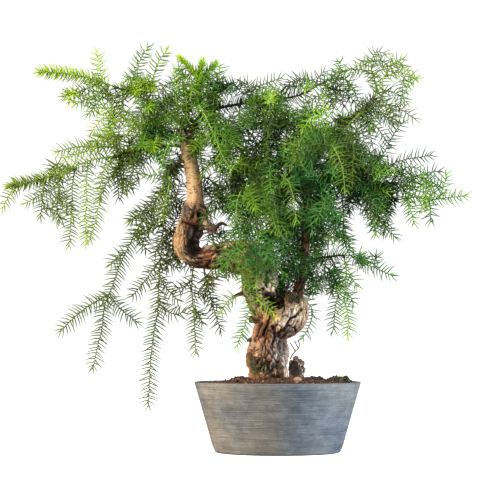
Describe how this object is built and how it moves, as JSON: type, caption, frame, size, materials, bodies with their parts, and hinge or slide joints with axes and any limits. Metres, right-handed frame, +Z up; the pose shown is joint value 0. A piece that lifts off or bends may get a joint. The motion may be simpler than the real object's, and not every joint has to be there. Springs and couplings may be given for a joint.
{
  "type": "araucaria bonsai",
  "caption": "Old bent araucaria bonsai with hanging needled shoots, rooted in the soil of a round tapered grey pot that stands on its flat base.",
  "frame": {"origin": "centre of the pot's flat underside, on the pot's axis", "axes": "+Z up along the pot's axis; +X to the viewer's right, along the plant's widest spread; -Y towards the viewer"},
  "size_m": [0.7549, 0.3047, 0.6625],
  "materials": {
    "pot": "matte",
    "soil": "matte",
    "bark": "matte",
    "cut_wood": "matte",
    "stone": "matte",
    "foliage": "satin"
  },
  "bodies": {
    "root": {"pot": "pot", "soil": "soil", "trunk": "bark", "cut_root": "cut_wood", "pebble": "stone", "spray_apex_1": "foliage", "spray_apex_2": "foliage", "spray_apex_3": "foliage", "spray_cascade_1": "foliage", "spray_cascade_2": "foliage", "spray_cascade_3": "foliage", "spray_centre_1": "foliage", "spray_centre_2": "foliage", "spray_centre_3": "foliage", "spray_centre_4": "foliage", "spray_far_left_1": "foliage", "spray_far_left_2": "foliage", "spray_far_left_3": "foliage", "spray_far_left_4": "foliage", "spray_far_left_5": "foliage", "spray_far_left_6": "foliage", "spray_loop_1": "foliage", "spray_loop_2": "foliage", "spray_low_rear": "foliage", "spray_low_right_1": "foliage", "spray_low_right_2": "foliage", "spray_low_right_3": "foliage", "spray_rear": "foliage", "spray_right_hanging": "foliage", "spray_right_mid_1": "foliage", "spray_right_mid_2": "foliage", "spray_right_mid_3": "foliage", "spray_right_rear": "foliage", "spray_right_tip": "foliage", "spray_right_top_1": "foliage", "spray_right_top_2": "foliage", "spray_right_top_3": "foliage", "spray_right_top_4": "foliage", "spray_stem_front": "foliage", "spray_stem_rear": "foliage", "spray_stem_right_1": "foliage", "spray_stem_right_2": "foliage", "spray_top_1": "foliage", "spray_top_2": "foliage", "spray_top_3": "foliage", "spray_top_4": "foliage", "spray_top_5": "foliage", "spray_top_6": "foliage", "spray_top_7": "foliage", "spray_top_left_1": "foliage", "spray_top_left_2": "foliage", "spray_top_left_3": "foliage", "spray_top_left_4": "foliage", "spray_top_left_5": "foliage", "spray_top_left_6": "foliage", "spray_trunk_front": "foliage", "spray_trunk_left": "foliage", "spray_trunk_rear": "foliage", "spray_upper_front": "foliage", "spray_upper_rear": "foliage"}
  },
  "joints": []
}
